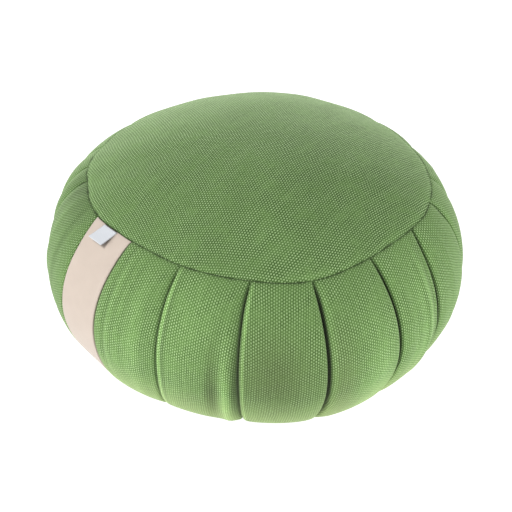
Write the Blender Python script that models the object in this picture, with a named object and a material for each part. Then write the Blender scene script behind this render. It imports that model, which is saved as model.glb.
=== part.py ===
"""A round zafu meditation cushion: a pleated side band between a crowned top panel and a flat
bottom panel, with one plain cotton panel let into the side and a small folded label tab.

Metres, +Z up. The origin is the centre of the footprint on the floor. Angles run around the
cushion in degrees, 0 at the front (-Y) and positive towards +X. A place on the side is told by
that angle and by "drop": 0 at the top seam, 1 at the belly and 2 at the bottom seam.
"""

from collections import namedtuple

import bmesh
import bpy
import numpy as np

# Driving dimensions
TOP_SEAM_RISE = 0.1476  # height of the top seam above the floor
BELLY_RISE = 0.0738  # height of the widest line
BASE_SEAM_RISE = 0.0035  # height of the bottom seam
BASE_SEAM_RADIUS = 0.1424  # under a belly of the usual radius
BELLY_RADIUS = 0.18
BASE_FOLLOWS = 0.5  # share of the belly's wandering that the bottom seam follows
FLAT_RADIUS = 0.118  # the bottom panel rests flat inside this
FLOOR_POWER = 2.2  # how softly the bottom panel turns up to its seam
CROWN_RISE = 0.036  # the top panel's centre above its seam
CROWN_POWER = 2.35  # how evenly the crown falls to its seam
SEAM_LIFT_FADES = 4  # how soon the seam's own ups and downs fade in the crown
PANEL_THICKNESS = 0.002  # heavy cotton canvas
STRIP_THICKNESS = 0.0018
GAP = 0.0003  # between pieces that touch
SEAM_INSET = 0.00045  # the round panels end this far inside the seam line
LABEL_WIDTH = 0.016
LABEL_LENGTH = 0.015
LABEL_THICKNESS = 0.001
LABEL_START = 0.001  # from the seam, along the cloth
LABEL_LIFT = 0.0036  # its free end stands this far off the strip
LABEL_ANGLE = -57.2
LABEL_LEAN = 0.8  # degrees that its free end swings to the left

# The side's outline leaves each seam at a slope and passes the belly upright
TOP_SLOPE = np.radians(40)
TOP_REACH = 0.0093  # how far the outline runs out from the top seam before it bends
BELLY_REACH_UP = 0.0435
BELLY_REACH_DOWN = 0.0287
BASE_SLOPE = np.radians(22)
BASE_REACH = 0.0253
SEAM_DIP = 0.001  # both cloths dive this far into a seam
SEAM_DIP_WIDTH = 0.0015
PLUMP_POWER = 0.8  # how soon a panel plumps out below its seam
FOLD_PRESSED = 0.2  # share of a pleat's depth left where a seam presses it flat
FOLD_OPENS = 0.45  # drop over which it opens up
FOLD_STARTS = 0.02  # drop over which it begins at a seam
RECESS_AT_SEAM = 0.0016  # the body lies this far under the plain strip at the seams
RECESS = 0.0026

# One row for each pleat, with the panel that follows it. Angles at the top seam, belly and bottom
# seam in degrees, the rest in millimetres. over: 1 where the panel before the pleat lies on top,
# -1 where the panel after it does, 2 and -2 for the stepped edges of the plain strip. rim and lift
# are the top seam's radius and extra height at the pleat, sag is how far the seam bows out along
# the panel, belly is the belly's radius at the pleat, and plump is the panel's own bulge.
Pleat = namedtuple("Pleat", "seam belly base over depth gape rim lift sag radius plump")
PLEATS = (
    Pleat(-97.7, -101.5, -102.0, 1, 5.0, 0.0, 146.7, -0.6, 0.5, 182.9, 0.8),
    Pleat(-88.3, -94.5, -95.0, 1, 6.0, 0.2, 143.7, 0.2, 0.6, 181.6, 1.0),
    Pleat(-66.3, -62.9, -61.2, 2, 0.0, 0.0, 141.6, 1.0, -0.8, 181.8, -2.0),
    Pleat(-46.6, -48.1, -46.8, -2, 0.0, 0.0, 136.6, 2.4, -0.6, 178.5, 1.2),
    Pleat(-25.1, -27.0, -29.5, -1, 5.5, 0.2, 137.9, 1.2, -0.2, 174.6, 1.0),
    Pleat(-1.4, -4.2, -3.6, -1, 12.0, 0.8, 142.1, -0.7, 0.6, 178.9, 1.2),
    Pleat(17.5, 17.9, 16.8, 1, 14.0, 1.4, 147.2, -1.9, -0.3, 187.0, 1.4),
    Pleat(39.0, 39.9, 34.4, 1, 12.0, 0.7, 144.5, -0.5, -1.1, 183.1, 1.2),
    Pleat(59.9, 56.6, 52.8, 1, 12.0, 0.7, 146.9, 0.0, 1.1, 181.5, 1.2),
    Pleat(76.2, 78.4, 78.6, 1, 9.0, 0.3, 150.0, -0.4, 0.2, 182.0, 1.0),
    Pleat(92.0, 95.0, 95.5, 1, 10.0, 0.5, 149.8, -1.8, 0.4, 178.2, 1.2),
    Pleat(112.5, 114.0, 113.0, 1, 11.0, 0.4, 147.6, -1.5, 0.6, 175.0, 1.0),
    Pleat(131.0, 133.5, 134.5, 1, 12.0, 0.8, 146.0, -0.6, 0.3, 177.6, 1.3),
    Pleat(152.5, 151.0, 150.0, -1, 9.0, 0.4, 145.0, 0.7, 0.8, 179.4, 1.1),
    Pleat(171.0, 172.5, 173.0, -1, 12.0, 0.6, 145.0, 1.8, 0.4, 180.0, 1.2),
    Pleat(191.5, 190.0, 191.0, 1, 11.0, 0.5, 144.8, 0.0, 0.7, 179.8, 1.0),
    Pleat(210.0, 212.0, 211.0, 1, 12.0, 0.7, 145.6, -1.4, 0.3, 180.0, 1.3),
    Pleat(229.5, 229.0, 231.0, 1, 9.0, 0.4, 145.4, -1.1, 0.6, 181.7, 1.1),
    Pleat(248.4, 247.0, 247.5, 1, 8.0, 0.3, 146.0, -1.3, 0.4, 185.5, 1.0),
)
STRIP_PLEAT = 2  # the row whose panel is the plain strip

# Across a pleat whose panel before it lies on top: millimetres across where the seam presses it
# flat, millimetres across where it hangs open, share of the gape, and share of the depth.
FoldPoint = namedtuple("FoldPoint", "pressed hanging gape deep")
FOLD_POINTS = (
    FoldPoint(-9.0, -9.0, 0.0, 0.00),
    FoldPoint(-3.2, -2.8, 0.0, 0.07),
    FoldPoint(-1.4, -0.2, 0.0, 0.24),
    FoldPoint(-0.7, 0.4, 0.0, 0.46),
    FoldPoint(-0.2, -1.6, 0.1, 0.80),
    FoldPoint(0.2, -2.4, 0.3, 1.00),
    FoldPoint(0.8, 0.0, 0.7, 0.86),
    FoldPoint(1.6, 1.4, 1.0, 0.38),
    FoldPoint(3.6, 3.6, 0.9, 0.13),
    FoldPoint(10.0, 12.5, 0.0, 0.02),
)
# Across the plain strip's edge, the green panel being the one before it: millimetres across, and
# share of the recess.
STEP_POINTS = (
    (-9.0, 0.00),
    (-4.0, 0.06),
    (-2.0, 0.22),
    (-1.0, 0.52),
    (-0.6, 0.92),
    (0.2, 1.00),
    (1.5, 1.00),
    (3.5, 1.00),
    (6.5, 1.00),
    (10.0, 1.00),
)
BETWEEN_FOLDS = (0.2, 0.4, 0.6, 0.8)  # where a panel has points between its two pleats

# The main soft creases between the pleats: a ridge where height is above 0, a trough where it is
# below. Angles at the top seam where each starts and ends, drops, and millimetres.
Crease = namedtuple("Crease", "start_angle end_angle start_drop end_drop width height")
CREASES = (
    Crease(-4.1, -4.9, 0.55, 1.90, 4.6, 2.6),
    Crease(-7.8, -9.2, 0.70, 1.80, 4.4, -1.5),
    Crease(53.6, 53.0, 0.40, 1.60, 4.0, 1.6),
)

# Rows of points down the side, and rings of points in from a round panel's rim
DROPS = (0, 0.035, 0.1, 0.2, 0.34, 0.52, 0.74, 1.0, 1.24, 1.45, 1.63, 1.78, 1.9, 1.965, 2)
STRIP_DROPS = (0.012, *DROPS[1:-1], 1.988)
RIM_POINTS = 96
TOP_RINGS = ((0.985, 96), (0.95, 96), (0.86, 48), (0.68, 48), (0.45, 24), (0.2, 12))
BASE_RINGS = ((0.975, 96), (0.93, 48), (0.84, 48), (0.5, 12))

GREEN = (0.155, 0.305, 0.092, 1)
NATURAL = (0.80, 0.68, 0.58, 1)
WHITE = (0.78, 0.82, 0.88, 1)


def column(name):
    return np.array([getattr(pleat, name) for pleat in PLEATS])


def around(values, angle):
    """A value listed for each pleat, read smoothly at any angle at the top seam."""
    at = column("seam")
    knots = np.concatenate([at - 360, at, at + 360])
    heights = np.tile(values, 3)
    turned = (np.asarray(angle, float) - at[0]) % 360 + at[0]
    left = np.searchsorted(knots, turned, side="right") - 1
    slope = np.gradient(heights, knots)
    width = knots[left + 1] - knots[left]
    f = (turned - knots[left]) / width
    start = (1 + 2 * f) * (1 - f) ** 2 * heights[left] + f * (1 - f) ** 2 * width * slope[left]
    end = f**2 * (3 - 2 * f) * heights[left + 1] - f**2 * (1 - f) * width * slope[left + 1]
    return start + end


def along_panel(angle):
    """Which panel an angle at the top seam is on, and how far along it, from 0 to 1."""
    at = column("seam")
    turned = (np.asarray(angle, float) - at[0]) % 360 + at[0]
    panel = np.searchsorted(at, turned, side="right") - 1
    width = np.append(at, at[0] + 360)[panel + 1] - at[panel]
    return panel, (turned - at[panel]) / width


def top_seam(angle):
    """The top seam's radius and height."""
    panel, f = along_panel(angle)
    sag = column("sag")[panel] * np.sin(np.pi * f) ** 2
    radius = (around(column("rim"), angle) + sag) / 1000
    return radius, TOP_SEAM_RISE + around(column("lift"), angle) / 1000


def base_seam(angle):
    """The bottom seam's radius and height, under what lies at an angle at the top seam."""
    belly = around(column("radius"), angle) / 1000
    return BASE_SEAM_RADIUS + BASE_FOLLOWS * (belly - BELLY_RADIUS), BASE_SEAM_RISE + 0 * belly


def bezier(ends, t):
    a, b, c, d = ends
    return (1 - t) ** 3 * a + 3 * (1 - t) ** 2 * t * b + 3 * (1 - t) * t**2 * c + t**3 * d


def side_outline(angle, drop):
    """Radius, height and outward normal of the side with its pleats left out."""
    top_radius, top_rise = top_seam(angle)
    base_radius, base_rise = base_seam(angle)
    belly = around(column("radius"), angle) / 1000

    def place(t, lower):
        seam_radius = np.where(lower, base_radius, top_radius)
        reach = np.where(lower, BASE_REACH, TOP_REACH)
        slope = np.where(lower, BASE_SLOPE, TOP_SLOPE)
        out, down = reach * np.cos(slope), reach * np.sin(slope)
        seam_rise = np.where(lower, base_rise, top_rise)
        way = np.where(lower, -1, 1)
        bend = np.where(lower, BELLY_REACH_DOWN, BELLY_REACH_UP)
        radii = (seam_radius, seam_radius + out, belly, belly)
        rises = (seam_rise, seam_rise - way * down, BELLY_RISE + way * bend, BELLY_RISE)
        return bezier(radii, t), bezier(rises, t)

    lower = np.asarray(drop) > 1
    t = np.where(lower, 2 - drop, drop)
    step = 1e-4
    radius, rise = place(t, lower)
    near, far = np.maximum(t - step, 0), np.minimum(t + step, 1)
    radius_a, rise_a = place(near, lower)
    radius_b, rise_b = place(far, lower)
    turn = np.where(lower, -1, 1)
    run_r, run_z = turn * (radius_b - radius_a), turn * (rise_b - rise_a)
    length = np.hypot(run_r, run_z)
    return radius, rise, -run_z / length, run_r / length


def from_seam(drop):
    """Distance along the side from the nearer seam, for the dip into it."""
    return 3 * (TOP_REACH * drop if drop < 1 else BASE_REACH * (2 - drop))


def soft_creases(angle, drop):
    """How far the soft creases stand out from the panels, at angles at the top seam."""
    total = np.zeros_like(angle)
    for crease in CREASES:
        f = (drop - crease.start_drop) / (crease.end_drop - crease.start_drop)
        if 0 < f < 1:
            line = crease.start_angle + f * (crease.end_angle - crease.start_angle)
            away = (angle - line + 180) % 360 - 180
            across = np.radians(away) * BELLY_RADIUS * 1000 / crease.width
            total += crease.height / 1000 * np.sin(np.pi * f) ** 0.7 * np.exp(-(across**2))
    return total


def opened(drop):
    """0 where a seam presses a pleat flat, 1 where it hangs open."""
    f = np.clip(np.minimum(drop, 2 - drop) / FOLD_OPENS, 0, 1)
    return f * f * (3 - 2 * f)


def leaning(pleat, drop):
    """A pleat's angle at a drop: it swings from its seam angle to its belly angle and on."""
    upper = pleat.seam + (pleat.belly - pleat.seam) * np.sin(np.pi / 2 * min(drop, 1))
    lower = pleat.belly + (pleat.base - pleat.belly) * (1 - np.cos(np.pi / 2 * (drop - 1)))
    return upper if drop <= 1 else lower


def seam_angle(angle, drop):
    """The angle at the top seam of what lies at an angle and a drop."""
    here = np.array([leaning(pleat, drop) for pleat in PLEATS])
    there = column("seam")
    knots = np.concatenate([here - 360, here, here + 360])
    values = np.concatenate([there - 360, there, there + 360])
    return np.interp(angle, knots, values)


def recess(drop):
    return RECESS_AT_SEAM + (RECESS - RECESS_AT_SEAM) * opened(drop)


def fold_section(pleat, drop):
    """(millimetres across, millimetres deep) of each point of one pleat at one drop."""
    if abs(pleat.over) == 2:
        section = [(across, deep * recess(drop) * 1000) for across, deep in STEP_POINTS]
    else:
        hang = opened(drop)
        press = min(1, drop / FOLD_STARTS, (2 - drop) / FOLD_STARTS)
        depth = pleat.depth * press * (FOLD_PRESSED + (1 - FOLD_PRESSED) * hang)
        section = [
            (
                point.pressed + hang * (point.hanging - point.pressed + point.gape * pleat.gape),
                depth * point.deep,
            )
            for point in FOLD_POINTS
        ]
    if pleat.over < 0:
        section = [(-across, deep) for across, deep in reversed(section)]
    return section


def side_row(drop):
    """Every point around the side at one drop."""
    angles, depths = [], []
    for index, pleat in enumerate(PLEATS):
        at = leaning(pleat, drop)
        radius = float(side_outline(seam_angle(at, drop), drop)[0])
        degrees = np.degrees(0.001 / radius)
        section = fold_section(pleat, drop)
        angles += [at + across * degrees for across, _ in section]
        depths += [deep / 1000 for _, deep in section]
        following = PLEATS[(index + 1) % len(PLEATS)]
        until = leaning(following, drop) + (360 if index + 1 == len(PLEATS) else 0)
        until += fold_section(following, drop)[0][0] * degrees
        start = angles[-1]
        level = recess(drop) if index == STRIP_PLEAT else 0
        for f in BETWEEN_FOLDS:
            angles.append(start + f * (until - start))
            depths.append(level)
    return side_points(np.array(angles), drop, np.array(depths))


def side_points(angle, drop, depth):
    """Points on the side at these angles, sunk by these depths under the panels' own bulge."""
    at_seam = seam_angle(angle, drop)
    radius, rise, out, up = side_outline(at_seam, drop)
    panel, f = along_panel(at_seam)
    bulge = column("plump")[panel] / 1000 * np.sin(np.pi * f) * np.sin(np.pi / 2 * drop) ** PLUMP_POWER
    dip = SEAM_DIP * (1 - np.exp(-from_seam(drop) / SEAM_DIP_WIDTH))
    stand = bulge + dip - depth + soft_creases(at_seam, drop)
    radius, rise = radius + stand * out, rise + stand * up
    turn = np.radians(angle)
    return np.stack([radius * np.sin(turn), -radius * np.cos(turn), rise], axis=-1)


def crown(angle, share):
    """Radius, height and outward normal of the top panel, at a share of its seam's radius."""
    rim, seam_rise = top_seam(angle)

    def rise(share):
        dip = SEAM_DIP * (1 - np.exp(-rim * (1 - share) / SEAM_DIP_WIDTH))
        swell = CROWN_RISE * (1 - share**CROWN_POWER)
        level = seam_rise + (TOP_SEAM_RISE - seam_rise) * (1 - share**SEAM_LIFT_FADES)
        return level + dip + swell

    step = 1e-4
    slope = (rise(share) - rise(share - step)) / (rim * step)
    length = np.hypot(slope, 1)
    return rim * share, rise(share), -slope / length, 1 / length


def floor_curve(angle, share):
    """Radius, height and outward normal of the bottom panel's underside."""
    rim, seam_rise = base_seam(seam_angle(angle, 2))

    def rise(share):
        f = np.clip((rim * share - FLAT_RADIUS) / (rim - FLAT_RADIUS), 0, 1)
        return seam_rise * f**FLOOR_POWER

    step = 1e-4
    slope = (rise(share) - rise(share - step)) / (rim * step)
    length = np.hypot(slope, 1)
    return rim * share, rise(share), slope / length, -1 / length


def panel_ring(curve, share, count, sink):
    """A ring of points on a round panel's curve, sunk into the body."""
    angle = np.arange(count) * 360 / count
    rim = curve(angle, 1.0)[0]
    radius, rise, out, up = curve(angle, share - SEAM_INSET / rim)
    radius, rise = radius - sink * out, rise - sink * up
    turn = np.radians(angle)
    return np.stack([radius * np.sin(turn), -radius * np.cos(turn), rise], axis=-1)


def add_loop(mesh, points):
    return [mesh.verts.new(point) for point in points]


def turn_of(vert):
    return np.degrees(np.arctan2(vert.co.x, -vert.co.y)) % 360


def lace(mesh, upper, lower):
    """Triangles between two rings of different counts, stepping on whichever lags in angle."""
    rings = []
    for ring in (upper, lower):
        first = min(range(len(ring)), key=lambda index: turn_of(ring[index]))
        ordered = ring[first:] + ring[:first]
        turns = [turn_of(vert) for vert in ordered] + [turn_of(ordered[0]) + 360]
        rings.append((ordered + ordered[:1], turns))
    (one, one_turns), (two, two_turns) = rings
    i = j = 0
    while i < len(one) - 1 or j < len(two) - 1:
        step_one = j == len(two) - 1 or (i < len(one) - 1 and one_turns[i + 1] < two_turns[j + 1])
        if step_one:
            mesh.faces.new((one[i], two[j], one[i + 1]))
            i += 1
        else:
            mesh.faces.new((one[i], two[j], two[j + 1]))
            j += 1


def close_disc(mesh, curve, ring, sink):
    """Triangles from a round panel's last ring to its middle."""
    _, rise, _, up = curve(0.0, 0.001)
    middle = mesh.verts.new((0, 0, float(rise - sink * up)))
    for index, vert in enumerate(ring):
        mesh.faces.new((vert, middle, ring[(index + 1) % len(ring)]))


def skin(mesh, rows, closed=True):
    """Quads between neighbouring rows of the same length."""
    for row, following in zip(rows, rows[1:]):
        for index in range(len(row) if closed else len(row) - 1):
            after = (index + 1) % len(row)
            mesh.faces.new((row[index], following[index], following[after], row[after]))


def finish(name, mesh, colour, roughness):
    """Makes the mesh an object with its own material, faces out and smooth but for sharp edges."""
    bmesh.ops.recalc_face_normals(mesh, faces=mesh.faces)
    data = bpy.data.meshes.new(name)
    mesh.to_mesh(data)
    mesh.free()
    data.shade_smooth()
    data.set_sharp_from_angle(angle=np.radians(50))
    material = bpy.data.materials.new(name)
    material.use_nodes = True
    shader = material.node_tree.nodes["Principled BSDF"]
    shader.inputs["Base Color"].default_value = colour
    shader.inputs["Roughness"].default_value = roughness
    shader.inputs["Metallic"].default_value = 0
    data.materials.append(material)
    bpy.context.scene.collection.objects.link(bpy.data.objects.new(name, data))


def add_side_band():
    """The filled body: the pleated side, closed over just inside the two round panels."""
    mesh = bmesh.new()
    rows = [add_loop(mesh, side_row(drop)) for drop in DROPS]
    skin(mesh, rows)
    for curve, previous, sizes in ((crown, rows[0], TOP_RINGS), (floor_curve, rows[-1], BASE_RINGS)):
        for share, count in ((1.0, RIM_POINTS), *sizes):
            ring = add_loop(mesh, panel_ring(curve, share, count, PANEL_THICKNESS + GAP))
            lace(mesh, previous, ring)
            previous = ring
        close_disc(mesh, curve, previous, PANEL_THICKNESS + GAP)
    finish("side_band", mesh, GREEN, 0.9)


def add_round_panel(name, curve, sizes):
    """A crowned or flat sheet inside one seam."""
    mesh = bmesh.new()
    rims = []
    for sink in (0, PANEL_THICKNESS):
        previous = None
        for share, count in ((1.0, RIM_POINTS), *sizes):
            ring = add_loop(mesh, panel_ring(curve, share, count, sink))
            if previous:
                lace(mesh, previous, ring)
            else:
                rims.append(ring)
            previous = ring
        close_disc(mesh, curve, previous, sink)
    skin(mesh, rims)
    finish(name, mesh, GREEN, 0.9)


def close_sheet(mesh, outer, inner):
    """Faces both sides of a sheet from rows of points, and joins them around the border."""
    skin(mesh, outer, closed=False)
    skin(mesh, inner, closed=False)
    borders = []
    for rows in (outer, inner):
        right = [row[-1] for row in rows]
        left = [row[0] for row in rows]
        borders.append(rows[0][:-1] + right[:-1] + rows[-1][:0:-1] + left[:0:-1])
    skin(mesh, borders)


def strip_thickness(drop):
    return min(STRIP_THICKNESS, recess(drop) - 2 * GAP)


def strip_edges(drop):
    """The plain strip's two edge angles, just clear of the green panels."""
    left, right = PLEATS[STRIP_PLEAT], PLEATS[STRIP_PLEAT + 1]
    radius = float(side_outline(seam_angle(leaning(left, drop), drop), drop)[0])
    clear = np.degrees(GAP / radius)
    return leaning(left, drop) + clear, leaning(right, drop) - clear


def add_contrast_strip():
    """The plain cotton panel, a sheet lying in its recess from seam to seam."""
    mesh = bmesh.new()
    shares = np.linspace(0, 1, 8)
    outer, inner = [], []
    for drop in STRIP_DROPS:
        left, right = strip_edges(drop)
        angles = left + shares * (right - left)
        depth = recess(drop) - GAP
        inner.append(add_loop(mesh, side_points(angles, drop, depth)))
        outer.append(add_loop(mesh, side_points(angles, drop, depth - strip_thickness(drop))))
    close_sheet(mesh, outer, inner)
    finish("contrast_strip", mesh, NATURAL, 0.85)


def drop_at_run(angle, run):
    """The drop that lies a distance along the cloth below the top seam."""
    drops = np.linspace(0, 0.5, 51)
    radius, rise, _, _ = side_outline(angle, drops)
    reached = np.concatenate([[0], np.cumsum(np.hypot(np.diff(radius), np.diff(rise)))])
    return float(np.interp(run, reached, drops))


def add_label_tab():
    """A small folded ribbon that comes out of the top seam and lifts off the plain strip."""
    mesh = bmesh.new()
    shares = np.linspace(-0.5, 0.5, 4)
    outer, inner = [], []
    for f in np.linspace(0, 1, 7):
        drop = drop_at_run(LABEL_ANGLE, LABEL_START + f * LABEL_LENGTH)
        radius = float(side_outline(LABEL_ANGLE, drop)[0])
        angles = LABEL_ANGLE - LABEL_LEAN * f + shares * np.degrees(LABEL_WIDTH / radius)
        strip_top = recess(drop) - GAP - strip_thickness(drop)
        depth = strip_top - GAP - LABEL_LIFT * f**1.5
        inner.append(add_loop(mesh, side_points(angles, drop, depth)))
        outer.append(add_loop(mesh, side_points(angles, drop, depth - LABEL_THICKNESS)))
    close_sheet(mesh, outer, inner)
    finish("label_tab", mesh, WHITE, 0.6)


def main():
    for thing in list(bpy.data.objects):
        bpy.data.objects.remove(thing)
    add_side_band()
    add_round_panel("top_panel", crown, TOP_RINGS)
    add_round_panel("bottom_panel", floor_curve, BASE_RINGS)
    add_contrast_strip()
    add_label_tab()


main()
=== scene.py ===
import math
from collections import namedtuple

import bpy
import numpy as np
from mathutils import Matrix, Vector


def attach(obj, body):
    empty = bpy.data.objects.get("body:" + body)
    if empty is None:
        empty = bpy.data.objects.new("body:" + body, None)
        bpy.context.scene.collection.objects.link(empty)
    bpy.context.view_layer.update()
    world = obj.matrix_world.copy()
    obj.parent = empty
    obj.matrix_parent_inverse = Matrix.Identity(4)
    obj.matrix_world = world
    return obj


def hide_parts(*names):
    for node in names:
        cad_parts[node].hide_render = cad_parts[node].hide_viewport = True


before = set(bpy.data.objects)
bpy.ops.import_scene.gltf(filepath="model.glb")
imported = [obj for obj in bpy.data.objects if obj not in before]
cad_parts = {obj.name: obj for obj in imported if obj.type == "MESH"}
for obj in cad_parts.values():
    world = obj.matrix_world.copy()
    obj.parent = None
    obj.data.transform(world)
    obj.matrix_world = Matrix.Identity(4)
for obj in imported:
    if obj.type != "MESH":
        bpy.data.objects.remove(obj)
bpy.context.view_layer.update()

print("frame loaded, nodes:", ", ".join(sorted(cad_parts)))

# The shape of the filled cushion, in metres and degrees.
# Angles run round it from the front (-Y) towards +X. A place on the side is told by the angle at
# the top seam and by its drop: 0 at the top seam, 1 at the belly, 2 at the bottom seam.
cushion = {
    "topSeamRise": 0.1476,
    "bellyRise": 0.0738,
    "baseSeamRise": 0.0035,
    "baseSeamRadius": 0.1424,
    "bellyRadius": 0.18,
    "baseFollows": 0.5,
    "topSlope": math.radians(40),
    "topReach": 0.0093,
    "bellyReachUp": 0.0435,
    "bellyReachDown": 0.0287,
    "baseSlope": math.radians(22),
    "baseReach": 0.0253,
    "seamDip": 0.001,
    "seamDipWidth": 0.0015,
    "plumpPower": 0.8,
    "foldPressed": 0.2,
    "foldOpens": 0.45,
    "foldStarts": 0.02,
    "recessAtSeam": 0.0016,
    "recess": 0.0026,
    "gap": 0.0003,
    "creasePower": 0.7,
    "rows": 96,
    "rowsCrowded": 0.65,
    "betweenFolds": 13,
    "capShares": (1.0, 0.95, 0.85, 0.6, 0.3, 0.1),
    "fill": 0.85,
}

# over: 1 where the panel before the pleat lies on top, -1 where the one after it does, 2 and -2
# where the green cloth steps down beside the plain strip. Millimetres from depth to plump.
# worn is how pale a highlight is painted along the fold's edge, dark how much shade is painted in
# its inside, which gets little light.
# Not set by hand: radius, rim in the first 11 rows, lift in the last 9, and above topSeamRise,
# bellyRise, baseSeamRadius and the four reaches come from a scratch program's fit to the photo's
# outline. Such programs also worked out seam, belly and base of the pleats in view, and
# crownRise and crownPower were picked among trial values of that fit.
Pleat = namedtuple("Pleat", "seam belly base over depth gape rim lift sag radius plump worn dark")
pleats = (
    Pleat(-97.7, -101.5, -102.0, 1, 5.0, 0.0, 146.7, -0.6, 0.5, 182.9, 0.8, 0.8, 0.7),
    Pleat(-88.3, -94.5, -95.0, 1, 6.0, 0.2, 143.7, 0.2, 0.6, 181.6, 1.0, 0.5, 0.7),
    Pleat(-66.3, -62.9, -61.2, 2, 0.0, 0.0, 141.6, 1.0, -0.8, 181.8, -2.0, 0.0, 0.2),
    Pleat(-46.6, -48.1, -46.8, -2, 0.0, 0.0, 136.6, 2.4, -0.6, 178.5, 1.2, 0.0, 0.2),
    Pleat(-25.1, -27.0, -29.5, -1, 5.5, 0.2, 137.9, 1.2, -0.2, 174.6, 1.0, 1.2, 0.5),
    Pleat(-1.4, -4.2, -3.6, -1, 12.0, 0.8, 142.1, -0.7, 0.6, 178.9, 1.2, 1.2, 0.35),
    Pleat(17.5, 17.9, 16.8, 1, 14.0, 1.4, 147.2, -1.9, -0.3, 187.0, 1.4, 0.8, 1.0),
    Pleat(39.0, 39.9, 34.4, 1, 12.0, 0.7, 144.5, -0.5, -1.1, 183.1, 1.2, 0.4, 1.0),
    Pleat(59.9, 56.6, 52.8, 1, 12.0, 0.7, 146.9, 0.0, 1.1, 181.5, 1.2, 0.5, 1.0),
    Pleat(76.2, 78.4, 78.6, 1, 9.0, 0.3, 150.0, -0.4, 0.2, 182.0, 1.0, 0.7, 0.8),
    Pleat(92.0, 95.0, 95.5, 1, 10.0, 0.5, 149.8, -1.8, 0.4, 178.2, 1.2, 0.2, 0.4),
    Pleat(112.5, 114.0, 113.0, 1, 11.0, 0.4, 147.6, -1.5, 0.6, 175.0, 1.0, 0.4, 0.5),
    Pleat(131.0, 133.5, 134.5, 1, 12.0, 0.8, 146.0, -0.6, 0.3, 177.6, 1.3, 0.6, 0.6),
    Pleat(152.5, 151.0, 150.0, -1, 9.0, 0.4, 145.0, 0.7, 0.8, 179.4, 1.1, 0.7, 0.4),
    Pleat(171.0, 172.5, 173.0, -1, 12.0, 0.6, 145.0, 1.8, 0.4, 180.0, 1.2, 0.8, 0.5),
    Pleat(191.5, 190.0, 191.0, 1, 11.0, 0.5, 144.8, 0.0, 0.7, 179.8, 1.0, 0.4, 0.5),
    Pleat(210.0, 212.0, 211.0, 1, 12.0, 0.7, 145.6, -1.4, 0.3, 180.0, 1.3, 0.5, 0.7),
    Pleat(229.5, 229.0, 231.0, 1, 9.0, 0.4, 145.4, -1.1, 0.6, 181.7, 1.1, 0.4, 0.5),
    Pleat(248.4, 247.0, 247.5, 1, 8.0, 0.3, 146.0, -1.3, 0.4, 185.5, 1.0, 0.3, 0.4),
)
stripPleat = 2

# millimetres across where the seam presses the pleat flat and where it hangs open; tone is 1 at
# the edge, where a highlight is painted, and -1 down in the fold, where shade is painted, and
# shoulder is added where the panel before lies on top, moving the painted highlight to the shoulder
FoldPoint = namedtuple("FoldPoint", "pressed hanging gape deep tone shoulder")
foldPoints = (
    FoldPoint(-9.0, -9.0, 0.0, 0.00, 0.0, 0.0),
    FoldPoint(-5.0, -4.8, 0.0, 0.03, 0.0, 0.0),
    FoldPoint(-3.2, -2.8, 0.0, 0.07, 1.0, -0.7),
    FoldPoint(-1.4, -0.2, 0.0, 0.24, 0.6, 0.0),
    FoldPoint(-0.7, 0.4, 0.0, 0.46, -0.3, 0.0),
    FoldPoint(-0.2, -1.6, 0.1, 0.80, -1.0, 0.0),
    FoldPoint(0.2, -2.4, 0.3, 1.00, -1.0, 0.0),
    FoldPoint(0.8, 0.0, 0.7, 0.86, -1.0, 0.0),
    FoldPoint(1.6, 1.4, 1.0, 0.38, -0.8, -0.1),
    FoldPoint(3.6, 3.6, 0.9, 0.13, -0.1, 0.9),
    FoldPoint(10.0, 12.5, 0.0, 0.02, 0.0, 0.0),
)
stepPoints = (
    (-9.0, 0.00), (-6.5, 0.02), (-4.0, 0.06), (-2.0, 0.22), (-1.0, 0.52), (-0.6, 0.92),
    (0.2, 1.00), (1.5, 1.00), (3.5, 1.00), (6.5, 1.00), (10.0, 1.00),
)
deepestPoint = 6
foldCuts = 3

# Soft creases between the pleats: a ridge where height is above 0, a trough where it is below.
# Angles at the top seam where each starts and ends, drops, and millimetres.
Crease = namedtuple("Crease", "startAngle endAngle startDrop endDrop width height")
creases = (
    Crease(-43.0, -42.6, 0.02, 1.60, 1.6, -1.1),
    Crease(-41.2, -40.8, 0.05, 1.50, 1.8, 0.7),
    Crease(-36.5, -36.0, 0.05, 1.50, 2.2, -0.6),
    Crease(-32.5, -32.0, 0.20, 1.70, 2.6, 0.6),
    Crease(-4.1, -4.9, 0.55, 1.90, 4.6, 2.6),
    Crease(-7.8, -9.2, 0.70, 1.80, 4.0, -1.9),
    Crease(0.4, 0.0, 0.40, 1.70, 2.2, -0.6),
    Crease(-24.0, -24.2, 0.05, 1.70, 1.3, -0.6),
    Crease(-16.0, -17.0, 0.60, 1.70, 4.0, -0.5),
    Crease(19.7, 20.2, 0.40, 1.70, 2.2, 0.8),
    Crease(53.6, 53.0, 0.40, 1.60, 4.0, 1.6),
    Crease(57.2, 56.6, 0.20, 1.60, 1.8, -0.9),
    Crease(46.8, 46.4, 0.50, 1.50, 3.0, -0.6),
    Crease(66.5, 67.5, 0.20, 1.50, 3.0, 0.6),
    Crease(-80.0, -79.0, 0.05, 1.50, 2.4, 0.9),
    Crease(-73.0, -72.0, 0.03, 1.40, 2.2, -0.9),
    Crease(104.0, 103.0, 0.20, 1.60, 3.0, 0.7),
    Crease(123.0, 122.0, 0.30, 1.50, 2.8, -0.6),
    Crease(143.0, 142.0, 0.15, 1.40, 3.0, 0.7),
    Crease(162.0, 163.0, 0.40, 1.70, 2.6, 0.8),
    Crease(183.0, 181.0, 0.10, 1.30, 3.0, -0.6),
    Crease(199.0, 201.0, 0.40, 1.60, 3.0, 0.8),
    Crease(221.0, 219.0, 0.20, 1.50, 2.6, 0.6),
    Crease(240.0, 238.0, 0.30, 1.60, 3.0, -0.5),
)
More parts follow.
